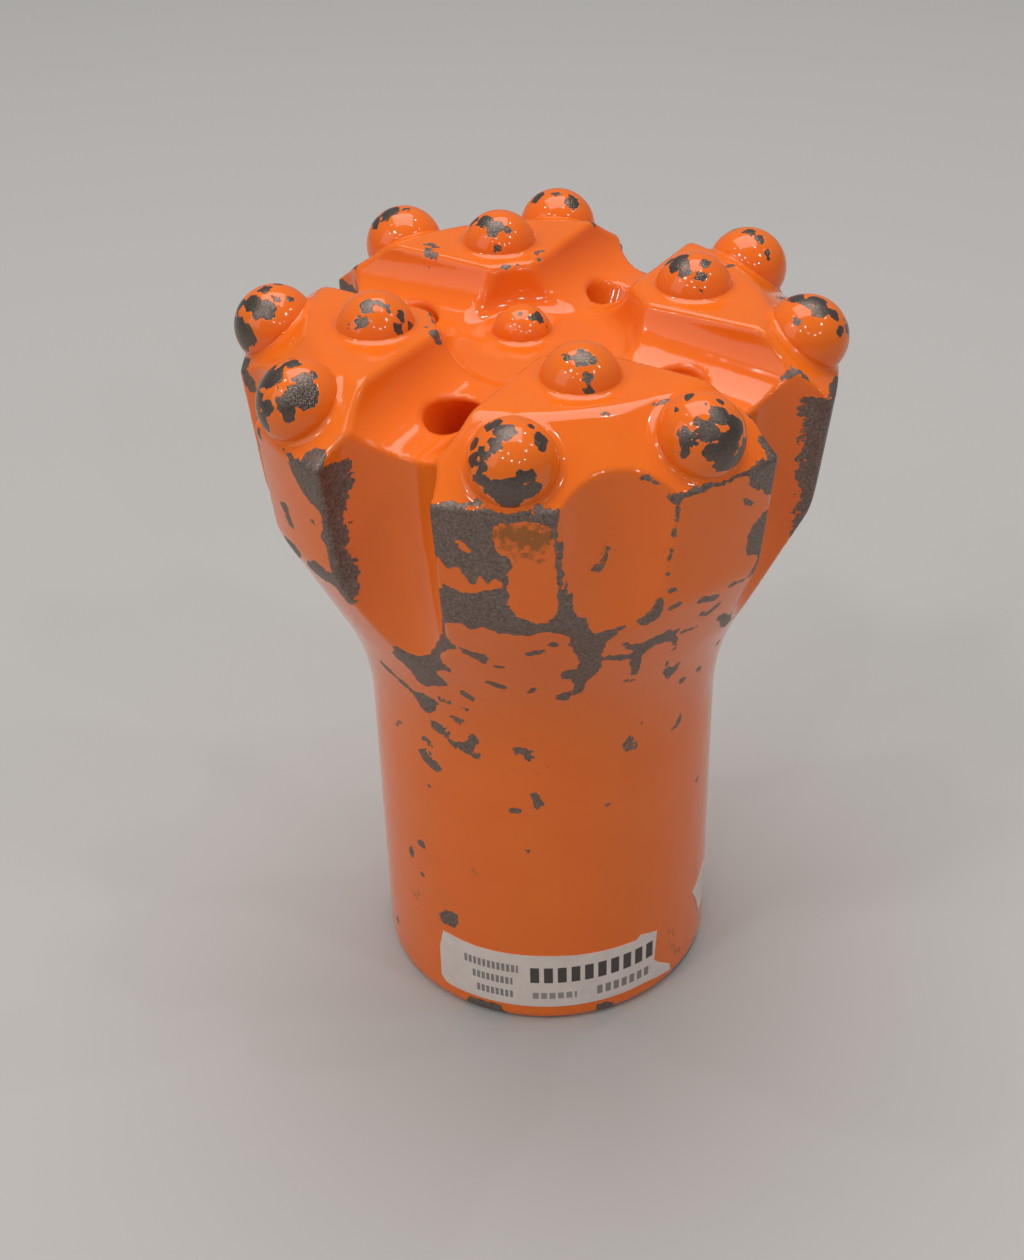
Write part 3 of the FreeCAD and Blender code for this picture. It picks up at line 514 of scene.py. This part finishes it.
# The socket was never painted, and the foot that the bit stands on is scuffed to the steel.
bare = np.where((radius < SOCKET_REACH) & (height < SOCKET_TOP), SOCKET_WEAR, bare)
foot = (upward < -0.9) & (height < 0.3) & (radius > SOCKET_REACH)
bare = np.where(foot, np.maximum(bare, FOOT_WEAR), bare)

body = solid_piece("painted_body", body_points, body_faces.tolist())
body.data.normals_split_custom_set_from_vertices(body_slope.tolist())
write_on(body, "bare", bare)
write_on(body, "rust", rust)


def linear(colour):
    """A colour written as sRGB hex, turned to linear for a shader."""
    parts = [int(colour[k:k + 2], 16) / 255 for k in (1, 3, 5)]
    return [p / 12.92 if p <= 0.04045 else ((p + 0.055) / 1.055) ** 2.4 for p in parts] + [1.0]


def add(tree, kind, settings=None, inputs=None):
    """Add a node, set its properties, and fill its inputs with values or with outputs."""
    node = tree.nodes.new(kind)
    for name, value in (settings or {}).items():
        setattr(node, name, value)
    for name, value in (inputs or {}).items():
        if isinstance(value, bpy.types.NodeSocket):
            tree.links.new(value, node.inputs[name])
        else:
            node.inputs[name].default_value = value
    return node


def emptied(owner):
    """The node tree of a material or a world, with nothing in it."""
    owner.use_nodes = True
    owner.node_tree.nodes.clear()
    return owner.node_tree


# Sizes in millimetres: the bites in a flake's ragged edge, the clouds in the orange, a rust spot
# and the sag of the enamel. Then how far the edge swings and how soft it is, and how deep the
# metal is pitted and the enamel sags.
RAGGED_SIZE, CLOUD_SIZE, RUST_SIZE, SAG_SIZE = 1.6, 14, 1.3, 4.0
RAGGED_SWING, EDGE_SOFTNESS, PIT_DEPTH, SAG_DEPTH = 1.6, 0.12, 0.04, 0.08
ENAMEL_COLOUR, ENAMEL_CLOUD, RUST_COLOUR = "#F87820", "#F26C18", "#9A5C1E"
ENAMEL_GLOSS, ENAMEL_IOR = 0.1, 1.5


def flaked_enamel(name, lobe_size, lobe_depth, metal_colour, metal_dark, metal_gloss, grain):
    """Glossy alkyd enamel, dipped thick, with bare metal where it has flaked.

    The eye sees a deep even orange with sharp reflections, a step at each flake's edge, and dull
    dark metal inside it.
    """
    material = bpy.data.materials.new(name)
    tree = emptied(material)
    place = add(tree, "ShaderNodeTexCoord").outputs["Object"]
    depth = add(tree, "ShaderNodeAttribute", {"attribute_name": "bare"}).outputs["Fac"]
    rusty = add(tree, "ShaderNodeAttribute", {"attribute_name": "rust"}).outputs["Fac"]

    # Enamel lets go in small round lobes, with a ragged edge.
    lobes = add(tree, "ShaderNodeTexVoronoi", {}, {"Vector": place, "Scale": 1000 / lobe_size})
    lobe = add(tree, "ShaderNodeMath", {"operation": "MULTIPLY_ADD"},
               {0: lobes.outputs["Distance"], 1: -2 * lobe_depth, 2: depth}).outputs[0]
    ragged = add(tree, "ShaderNodeTexNoise", {},
                 {"Vector": place, "Scale": 1000 / RAGGED_SIZE, "Detail": 3.0, "Roughness": 0.6})
    edge = add(tree, "ShaderNodeMath", {"operation": "MULTIPLY_ADD"},
               {0: ragged.outputs["Fac"], 1: RAGGED_SWING, 2: lobe}).outputs[0]
    brink = RAGGED_SWING / 2 - lobe_depth
    flaked = add(tree, "ShaderNodeMapRange", {"interpolation_type": "SMOOTHSTEP"},
                 {"Value": edge, "From Min": brink,
                  "From Max": brink + EDGE_SOFTNESS}).outputs["Result"]

    # The enamel's colour is very slightly uneven, and the bare metal has a sandy brown grain.
    cloud = add(tree, "ShaderNodeTexNoise", {},
                {"Vector": place, "Scale": 1000 / CLOUD_SIZE, "Detail": 2.0})
    orange = add(tree, "ShaderNodeMix", {"data_type": "RGBA"},
                 {"Factor": cloud.outputs["Fac"], "A": linear(ENAMEL_COLOUR),
                  "B": linear(ENAMEL_CLOUD)})
    sand = add(tree, "ShaderNodeTexNoise", {},
               {"Vector": place, "Scale": 1000 / grain, "Detail": 3.0, "Roughness": 0.7})
    sandy = add(tree, "ShaderNodeMapRange", {},
                {"Value": sand.outputs["Fac"], "From Min": 0.3, "From Max": 0.7}).outputs["Result"]
    metal = add(tree, "ShaderNodeMix", {"data_type": "RGBA"},
                {"Factor": sandy, "A": linear(metal_dark), "B": linear(metal_colour)})
    colour = add(tree, "ShaderNodeMix", {"data_type": "RGBA"},
                 {"Factor": flaked, "A": orange.outputs["Result"], "B": metal.outputs["Result"]})

    # Rust sits in small spots, thickest in the middle of a rusty place.
    mottle = add(tree, "ShaderNodeTexNoise", {},
                 {"Vector": place, "Scale": 1000 / RUST_SIZE, "Detail": 4.0, "Roughness": 0.65})
    spread = add(tree, "ShaderNodeMath", {"operation": "MULTIPLY_ADD"},
                 {0: mottle.outputs["Fac"], 1: 9.0, 2: rusty}).outputs[0]
    rusted = add(tree, "ShaderNodeMapRange", {},
                 {"Value": spread, "From Min": 4.9, "From Max": 6.3, "To Max": 0.9}).outputs["Result"]
    stained = add(tree, "ShaderNodeMix", {"data_type": "RGBA"},
                  {"Factor": rusted, "A": colour.outputs["Result"], "B": linear(RUST_COLOUR)})
    dull = add(tree, "ShaderNodeMath", {"operation": "MAXIMUM"}, {0: flaked, 1: rusted}).outputs[0]
    gloss = add(tree, "ShaderNodeMapRange", {},
                {"Value": dull, "To Min": ENAMEL_GLOSS, "To Max": metal_gloss})

    # The enamel stands proud of the metal, and its surface sags in slow ripples.
    ripple = add(tree, "ShaderNodeTexNoise", {},
                 {"Vector": place, "Scale": 1000 / SAG_SIZE, "Detail": 1.0})
    skin_height = add(tree, "ShaderNodeMapRange", {}, {"Value": flaked, "To Min": 1.0, "To Max": 0.0})
    step = add(tree, "ShaderNodeBump", {},
               {"Height": skin_height.outputs["Result"],
                "Distance": ENAMEL_THICKNESS / 1000, "Strength": 0.8})
    pitted = add(tree, "ShaderNodeMath", {"operation": "MULTIPLY"}, {0: sandy, 1: flaked}).outputs[0]
    grit = add(tree, "ShaderNodeBump", {},
               {"Height": pitted, "Distance": PIT_DEPTH / 1000, "Strength": 1.0,
                "Normal": step.outputs["Normal"]})
    sag = add(tree, "ShaderNodeBump", {},
              {"Height": ripple.outputs["Fac"], "Distance": SAG_DEPTH / 1000, "Strength": 1.0,
               "Normal": grit.outputs["Normal"]})
    metallic = add(tree, "ShaderNodeMath", {"operation": "MULTIPLY"}, {0: flaked, 1: 0.7}).outputs[0]
    surface = add(tree, "ShaderNodeBsdfPrincipled", {},
                  {"Base Color": stained.outputs["Result"], "Roughness": gloss.outputs["Result"],
                   "Metallic": metallic, "Normal": sag.outputs["Normal"], "IOR": ENAMEL_IOR})
    add(tree, "ShaderNodeOutputMaterial", {}, {"Surface": surface.outputs["BSDF"]})
    return material


steel_enamel = flaked_enamel("orange_enamel_on_forged_steel", lobe_size=1.4, lobe_depth=0.2,
                             metal_colour="#98857B", metal_dark="#5F5048", metal_gloss=0.48,
                             grain=0.45)
body.data.materials.append(steel_enamel)
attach(body, "root")
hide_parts("bit_body")

# ---------------------------------------------------------------------------------------------
# The buttons: ground cemented carbide, round-topped plugs pressed into blind holes for good.
# They were dipped with the body, and drilling and handling have knocked the enamel off their
# tops in round flakes.

GAUGE_SEAT, FACE_SEAT, CENTRE_SEAT, PLUG_EDGE = 13.0, 12.0, 9.0, 1.0

# Flakes on each button, as (turn, lean, reach): turned about the button's own axis from its
# outer side and leaning from its tip, in degrees, with a reach in millimetres.
GAUGE_WEAR = [
    [(107, 43, 1.5), (144, 43, 0.7), (-159, 21, 1.8), (-147, 42, 1.5), (-90, 18, 1.3),
     (-139, 53, 0.9),
     (-101, 51, 1.2), (-78, 36, 1.0), (-76, 52, 1.2), (-52, 41, 0.9), (-46, 59, 1.2), (5, 60, 2.6),
     (32, 65, 1.8), (-22, 59, 1.8), (28, 42, 1.3), (43, 44, 0.8), (0, 77, 2.0)],
    [(0, 0, 1.8), (45, 28, 1.8), (0, 35, 2.1), (-5, 60, 2.1), (23, 65, 1.8), (38, 57, 1.1),
     (-56, 27, 1.8),
     (-32, 47, 1.5), (-81, 50, 1.6), (-67, 65, 0.9), (-165, 49, 1.1), (-132, 55, 0.8),
     (139, 23, 0.7),
     (-169, 25, 0.6), (-99, 30, 0.7)],
    [(175, 55, 1.3), (161, 61, 1.1), (-159, 43, 1.2), (-136, 69, 0.9), (-124, 36, 1.5),
     (-90, 22, 1.3),
     (-58, 38, 0.9), (-165, 28, 1.8), (0, 55, 2.4), (35, 45, 1.6), (-20, 35, 1.4)],
    [(-173, 40, 1.3), (-140, 43, 1.1), (-117, 61, 0.8), (143, 50, 1.1), (10, 50, 2.3),
     (-35, 58, 1.5),
     (60, 48, 1.2), (0, 15, 1.8)],
    [(141, 52, 1.5), (180, 47, 0.9), (-151, 63, 1.6), (0, 60, 2.2), (40, 40, 1.8), (-30, 45, 1.2),
     (0, 20, 1.5)],
    [(146, 36, 2.1), (114, 49, 1.1), (-177, 43, 0.9), (98, 38, 1.2), (-5, 50, 2.5), (25, 62, 1.5),
     (-50, 30, 1.4), (0, 10, 1.6)],
    [(119, 51, 2.1), (112, 27, 1.8), (67, 65, 2.1), (49, 53, 2.4), (45, 18, 1.5), (171, 30, 1.2),
     (-160, 45, 0.7), (48, 74, 1.5), (163, 70, 0.6), (146, 54, 0.8), (0, 40, 2.0), (-20, 60, 1.8)],
    [(104, 51, 2.4), (126, 43, 1.5), (69, 43, 1.8), (59, 58, 1.0), (146, 54, 0.7), (0, 0, 2.1),
     (-172, 35, 1.5), (-16, 36, 1.8), (5, 60, 1.8), (23, 38, 1.5), (-101, 25, 1.8), (-59, 29, 1.8)],
]
FACE_WEAR = [
    [(-11, 26, 1.7), (17, 34, 0.9), (-55, 31, 0.8), (-5, 56, 0.8), (-4, 74, 0.8)],
    [(-162, 32, 1.7), (158, 40, 1.0), (180, 20, 1.4), (-132, 41, 1.1), (-96, 45, 1.0),
     (-99, 63, 0.75),
     (-68, 27, 1.1)],
    [(157, 38, 1.7), (117, 28, 1.6), (-176, 40, 0.9), (73, 42, 1.0), (163, 67, 0.7)],
    [(59, 29, 1.4), (101, 25, 0.8), (110, 36, 0.6), (60, 55, 1.2), (34, 64, 0.6), (120, 69, 1.1),
     (133, 55, 0.9), (141, 74, 0.9)],
]
CENTRE_WEAR = [[(-110, 27, 0.5), (-47, 41, 1.2), (-72, 40, 0.6), (-43, 62, 0.4)]]
DIPPED = 0.2


def button_piece(name, radius, stand, depth, seat, tip, outer, wear):
    """A plug with a round top, turned about its axis, with its flakes marked on it."""
    profile = [(0, -depth), (radius - PLUG_EDGE, -depth), (radius, PLUG_EDGE - depth)]
    profile += [(radius, h) for h in np.linspace(2 - depth, stand - 1.2, 5)]
    # Above the hole the plug is thicker by its coat of enamel.
    radius += DIPPED
    profile += [(radius * math.cos(a), stand + radius * math.sin(a))
                for a in np.linspace(0, math.pi / 2, 20)[:-1]] + [(0, stand + radius)]
    count = 72
    side = np.cross(tip, outer)
    points, faces = [], []
    for ring, (off, up) in enumerate(profile):
        for k in range(1 if off == 0 else count):
            a = 2 * math.pi * k / count
            points.append(seat + up * tip + off * (math.cos(a) * outer + math.sin(a) * side))
    for k in range(count):
        faces.append((0, 1 + (k + 1) % count, 1 + k))
    rings = len(profile) - 2
    for ring in range(rings - 1):
        start = 1 + ring * count
        for k in range(count):
            n = (k + 1) % count
            faces.append((start + k, start + n, start + count + n, start + count + k))
    last = 1 + (rings - 1) * count
    for k in range(count):
        faces.append((last + k, last + (k + 1) % count, last + count))
    points = np.array(points)
    piece = solid_piece(name, points, faces)

    middle = seat + stand * tip
    rays = points - middle
    rays /= np.clip(np.linalg.norm(rays, axis=1), 1e-6, None)[:, None]
    bare_here = np.full(len(points), -FAR)
    for turn_here, lean, reach in wear:
        t, l = math.radians(turn_here), math.radians(lean)
        aim = math.cos(l) * tip + math.sin(l) * (math.cos(t) * outer + math.sin(t) * side)
        away = radius * np.arccos(np.clip(rays @ aim, -1, 1))
        bare_here = np.maximum(bare_here, reach - away)
    write_on(piece, "bare", bare_here)
    write_on(piece, "rust", np.full(len(points), -FAR))
    return piece


carbide_enamel = flaked_enamel("orange_enamel_on_cemented_carbide", lobe_size=1.25,
                               lobe_depth=0.5, metal_colour="#75685F", metal_dark="#5E514A",
                               metal_gloss=0.17, grain=0.4)
up = np.array([0.0, 0.0, 1.0])
buttons = []
for wing in range(4):
    for step, side_of_wing in enumerate((-1, 1)):
        a = math.radians(FRONT_WING + 90 * wing + side_of_wing * GAUGE_TURN)
        out = np.array([math.cos(a), math.sin(a), 0.0])
        lean_out = math.sin(BEVEL) * out + math.cos(BEVEL) * up
        down_bevel = math.cos(BEVEL) * out - math.sin(BEVEL) * up
        number = 2 * wing + step + 1
        buttons.append(("gauge_button_%d" % number, button_piece(
            "painted_gauge_button_%d" % number, GAUGE_RADIUS, GAUGE_STAND, GAUGE_SEAT,
            GAUGE_OUT * out + GAUGE_HEIGHT * up, lean_out, down_bevel, GAUGE_WEAR[number - 1])))
    a = math.radians(FRONT_WING + 90 * wing)
    out = np.array([math.cos(a), math.sin(a), 0.0])
    buttons.append(("face_button_%d" % (wing + 1), button_piece(
        "painted_face_button_%d" % (wing + 1), FACE_RADIUS, FACE_STAND, FACE_SEAT,
        FACE_OUT * out + FACE_HEIGHT * up, up, out, FACE_WEAR[wing])))
buttons.append(("centre_button", button_piece(
    "painted_centre_button", CENTRE_RADIUS, CENTRE_STAND, CENTRE_SEAT,
    np.array([*CENTRE_PLACE, DROP_FLOOR]), up, np.array([1.0, 0.0, 0.0]), CENTRE_WEAR[0])))
for node_name, piece in buttons:
    piece.data.materials.append(carbide_enamel)
    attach(piece, "root")
    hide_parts(node_name)

# ---------------------------------------------------------------------------------------------
# The stock label and a scrap of another: thin white self-adhesive paper, stuck round the skirt
# above the foot, torn and grubby.

# The print, as plain bars: from and to a turn in degrees from the middle of the front wing, from
# and to a height, the pitch of the bars, their row, the gap between them, and the ink's colour.
PRINT = [
    (-44, -24, 12.7, 14.6, 0.95, 0.30, "#8B8480"), (-41, -26, 9.4, 11.2, 0.95, 0.30, "#8B8480"),
    (-39.5, -26, 6.0, 7.8, 0.95, 0.30, "#8B8480"), (-21.5, 25, 10.4, 14.3, 2.6, 0.9, "#4A4340"),
    (-20, -4, 6.2, 7.8, 1.6, 0.45, "#9A938E"), (2, 24.5, 6.0, 8.2, 1.7, 0.6, "#8A837F"),
]
LABEL_RADIUS, GRIME_SIZE = 31.95, 5
PAPER_COLOUR, GRIME_COLOUR = "#F2E6DE", "#D3C5BC"

# Uncoated white paper under handling grime: a matt warm white, clouded, with dull grey print.
paper = bpy.data.materials.new("white_label_paper")
tree = emptied(paper)
place = add(tree, "ShaderNodeTexCoord").outputs["Object"]
axes = add(tree, "ShaderNodeSeparateXYZ", {}, {"Vector": place})
behind = add(tree, "ShaderNodeMath", {"operation": "MULTIPLY"},
             {0: axes.outputs["Y"], 1: -1.0}).outputs[0]
angle = add(tree, "ShaderNodeMath", {"operation": "ARCTAN2"},
            {0: axes.outputs["X"], 1: behind}).outputs[0]
along = add(tree, "ShaderNodeMath", {"operation": "MULTIPLY"},
            {0: angle, 1: LABEL_RADIUS}).outputs[0]
upright = add(tree, "ShaderNodeMath", {"operation": "MULTIPLY"},
              {0: axes.outputs["Z"], 1: 1000.0}).outputs[0]
grime = add(tree, "ShaderNodeTexNoise", {},
            {"Vector": place, "Scale": 1000 / GRIME_SIZE, "Detail": 5.0, "Roughness": 0.7})
sheet = add(tree, "ShaderNodeMix", {"data_type": "RGBA"},
            {"Factor": grime.outputs["Fac"], "A": linear(PAPER_COLOUR),
             "B": linear(GRIME_COLOUR)}).outputs["Result"]
for turn_a, turn_b, low_edge, high_edge, pitch, gap, ink in PRINT:
    start = math.radians(turn_a) * LABEL_RADIUS
    end = math.radians(turn_b) * LABEL_RADIUS
    ahead = add(tree, "ShaderNodeMath", {"operation": "SUBTRACT"}, {0: along, 1: start}).outputs[0]
    within = add(tree, "ShaderNodeMath", {"operation": "MODULO"}, {0: ahead, 1: pitch}).outputs[0]
    tests = [("GREATER_THAN", ahead, 0.0), ("LESS_THAN", ahead, end - start),
             ("GREATER_THAN", upright, low_edge), ("LESS_THAN", upright, high_edge),
             ("GREATER_THAN", within, gap)]
    inked = None
    for kind, value, limit in tests:
        passed = add(tree, "ShaderNodeMath", {"operation": kind}, {0: value, 1: limit}).outputs[0]
        inked = passed if inked is None else add(
            tree, "ShaderNodeMath", {"operation": "MULTIPLY"}, {0: inked, 1: passed}).outputs[0]
    sheet = add(tree, "ShaderNodeMix", {"data_type": "RGBA"},
                {"Factor": inked, "A": sheet, "B": linear(ink)}).outputs["Result"]
surface = add(tree, "ShaderNodeBsdfPrincipled", {}, {"Base Color": sheet, "Roughness": 0.5})
add(tree, "ShaderNodeOutputMaterial", {}, {"Surface": surface.outputs["BSDF"]})
for node_name in ("paper_label", "label_scrap"):
    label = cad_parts[node_name]
    label.data.materials.clear()
    label.data.materials.append(paper)

# ---------------------------------------------------------------------------------------------
# The studio: a plain pale floor, a broad soft lamp overhead, another to the left, and a ring
# of small ones whose reflections sparkle in the enamel.

FLOOR_HALF = 4
corners = [(-FLOOR_HALF, -FLOOR_HALF, 0), (FLOOR_HALF, -FLOOR_HALF, 0),
           (FLOOR_HALF, FLOOR_HALF, 0), (-FLOOR_HALF, FLOOR_HALF, 0)]
floor_mesh = bpy.data.meshes.new("floor")
floor_mesh.from_pydata(corners, [], [(0, 1, 2, 3)])
floor = bpy.data.objects.new("floor", floor_mesh)
bpy.context.scene.collection.objects.link(floor)
# Matt paint on a flat floor: a plain warm grey with no reflections to see.
floor_paint = bpy.data.materials.new("matt_floor_paint")
tree = emptied(floor_paint)
surface = add(tree, "ShaderNodeBsdfPrincipled", {},
              {"Base Color": linear("#BDBAB6"), "Roughness": 0.7})
add(tree, "ShaderNodeOutputMaterial", {}, {"Surface": surface.outputs["BSDF"]})
floor_mesh.materials.append(floor_paint)

world = bpy.data.worlds.new("room")
bpy.context.scene.world = world
tree = emptied(world)
sky = add(tree, "ShaderNodeBackground", {}, {"Color": linear("#E8E8EA"), "Strength": 0.26})
add(tree, "ShaderNodeOutputWorld", {}, {"Surface": sky.outputs["Background"]})

# Lamps: (turn from the front, lift, distance, width in metres, power in watts), all aimed at a
# point this high in the bit. Small lamps make the glints.
LAMP_AIM = 0.1
LAMPS = [
    (175, 76, 1.5, 1.2, 13.5), (-75, 30, 1.4, 0.9, 2.4), (-60, 55, 1.3, 0.11, 1.3),
    (40, 48, 1.3, 0.09, 0.9),
    (-76, 44, 1.3, 0.03, 0.4), (-42, 40, 1.3, 0.03, 0.4), (-28, 52, 1.3, 0.03, 0.5),
    (-15, 36, 1.3, 0.03, 0.4),
    (5, 30, 1.3, 0.03, 0.4), (22, 32, 1.3, 0.03, 0.4), (60, 72, 1.3, 0.03, 0.5),
    (72, 48, 1.3, 0.03, 0.5),
    (-110, 60, 1.3, 0.03, 0.5), (115, 58, 1.3, 0.03, 0.5),
]
for number, (lamp_turn, lift, distance, width, power) in enumerate(LAMPS):
    lamp = bpy.data.lights.new("lamp_%d" % number, "AREA")
    lamp.size = width
    lamp.energy = power
    a, b = math.radians(FRONT_WING + lamp_turn), math.radians(lift)
    spot = Vector((math.cos(b) * math.cos(a), math.cos(b) * math.sin(a), math.sin(b)))
    holder = bpy.data.objects.new("lamp_%d" % number, lamp)
    holder.location = Vector((0, 0, LAMP_AIM)) + distance * spot
    holder.rotation_euler = spot.to_track_quat("Z", "Y").to_euler()
    bpy.context.scene.collection.objects.link(holder)

# The camera stands in front, a little to the left, and looks down on the head. Its place is in
# metres, its turns are in degrees, and its lens and sensor in millimetres.
CAMERA_PLACE, CAMERA_YAW, CAMERA_PITCH, CAMERA_ROLL = (-0.0666, -0.2694, 0.26315), 12.73, 34.91, -1.58
camera_data = bpy.data.cameras.new("camera")
camera_data.sensor_width = 36
camera_data.lens = 52.43
camera = bpy.data.objects.new("camera", camera_data)
bpy.context.scene.collection.objects.link(camera)
yaw, pitch, roll = (math.radians(angle) for angle in (CAMERA_YAW, CAMERA_PITCH, CAMERA_ROLL))
ahead = Vector((math.sin(yaw) * math.cos(pitch), math.cos(yaw) * math.cos(pitch), -math.sin(pitch)))
right = Vector((math.cos(yaw), -math.sin(yaw), 0))
top = right.cross(ahead)
level_right = math.cos(roll) * right + math.sin(roll) * top
level_top = math.cos(roll) * top - math.sin(roll) * right
camera.matrix_world = Matrix.Translation(CAMERA_PLACE) @ Matrix(
    (level_right, level_top, -ahead)).transposed().to_4x4()
bpy.context.scene.camera = camera
bpy.context.scene.view_settings.view_transform = "Standard"
